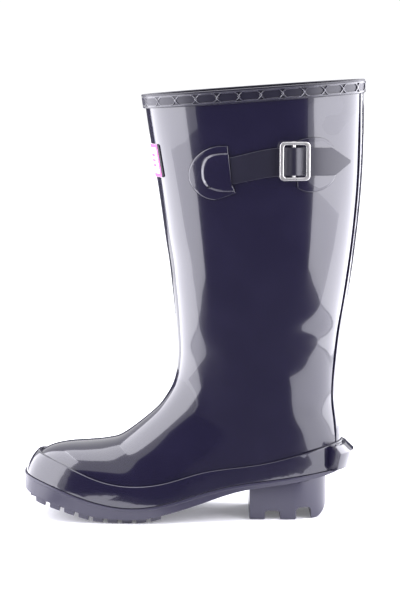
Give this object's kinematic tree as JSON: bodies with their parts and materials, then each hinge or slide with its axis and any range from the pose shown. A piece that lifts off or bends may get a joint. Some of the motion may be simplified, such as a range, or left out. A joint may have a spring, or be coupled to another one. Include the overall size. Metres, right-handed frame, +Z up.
{
  "type": "rain boot",
  "caption": "Knee-high rubber rain boot for the left foot with a bound rim, heel spur, notched heel, lugged sole and a buckled side strap on two bonded patches.",
  "frame": {"origin": "centre of the footprint box of the whole boot, on the ground plane the sole and heel stand on", "axes": "+Z up the leg, -X towards the toe, -Y towards the outer side with the buckle"},
  "size_m": [0.3084, 0.1221, 0.396],
  "materials": {
    "gloss_rubber": "high-gloss lacquered navy rubber",
    "satin_rubber": "satin navy rubber",
    "sole_rubber": "semi-gloss moulded navy rubber",
    "core_rubber": "matt black rubber",
    "knit_lining": "fine dark knit",
    "webbing_tape": "woven tape",
    "stiffener_canvas": "rubberised canvas",
    "spring_steel": "brushed",
    "cork_filler": "matt cork composition",
    "fibre_board": "matt pressed fibre board",
    "foam_footbed": "fabric over foam",
    "printed_badge": null,
    "nickel_buckle": "satin nickel plate"
  },
  "bodies": {
    "body": {"upper": "gloss_rubber", "lining": "knit_lining", "toe_puff": "stiffener_canvas", "heel_counter": "stiffener_canvas", "instep_stay": "stiffener_canvas", "outer_ankle_stay": "stiffener_canvas", "inner_ankle_stay": "stiffener_canvas", "top_tape": "webbing_tape", "shank": "spring_steel", "filler_sole": "cork_filler", "insole_board": "fibre_board", "footbed": "foam_footbed", "top_binding": "satin_rubber", "back_seam_strip": "gloss_rubber", "front_badge": "printed_badge", "foxing": "gloss_rubber", "heel_spur": "gloss_rubber", "outsole": "sole_rubber", "heel_block": "sole_rubber", "heel_core": "core_rubber", "strap": "satin_rubber", "front_anchor_patch": "gloss_rubber", "keeper_loop": "satin_rubber", "rear_anchor_patch": "gloss_rubber"},
    "buckle": {"buckle_frame": "nickel_buckle", "buckle_bar": "nickel_buckle"}
  },
  "joints": [
    {"name": "buckle_pivot", "type": "hinge", "parent": "body", "child": "buckle", "pos_m": [0.08846, -0.05656, 0.32527], "axis": [0.0019, -0.0117, 0.9999], "range_deg": [-4, 4]}
  ]
}
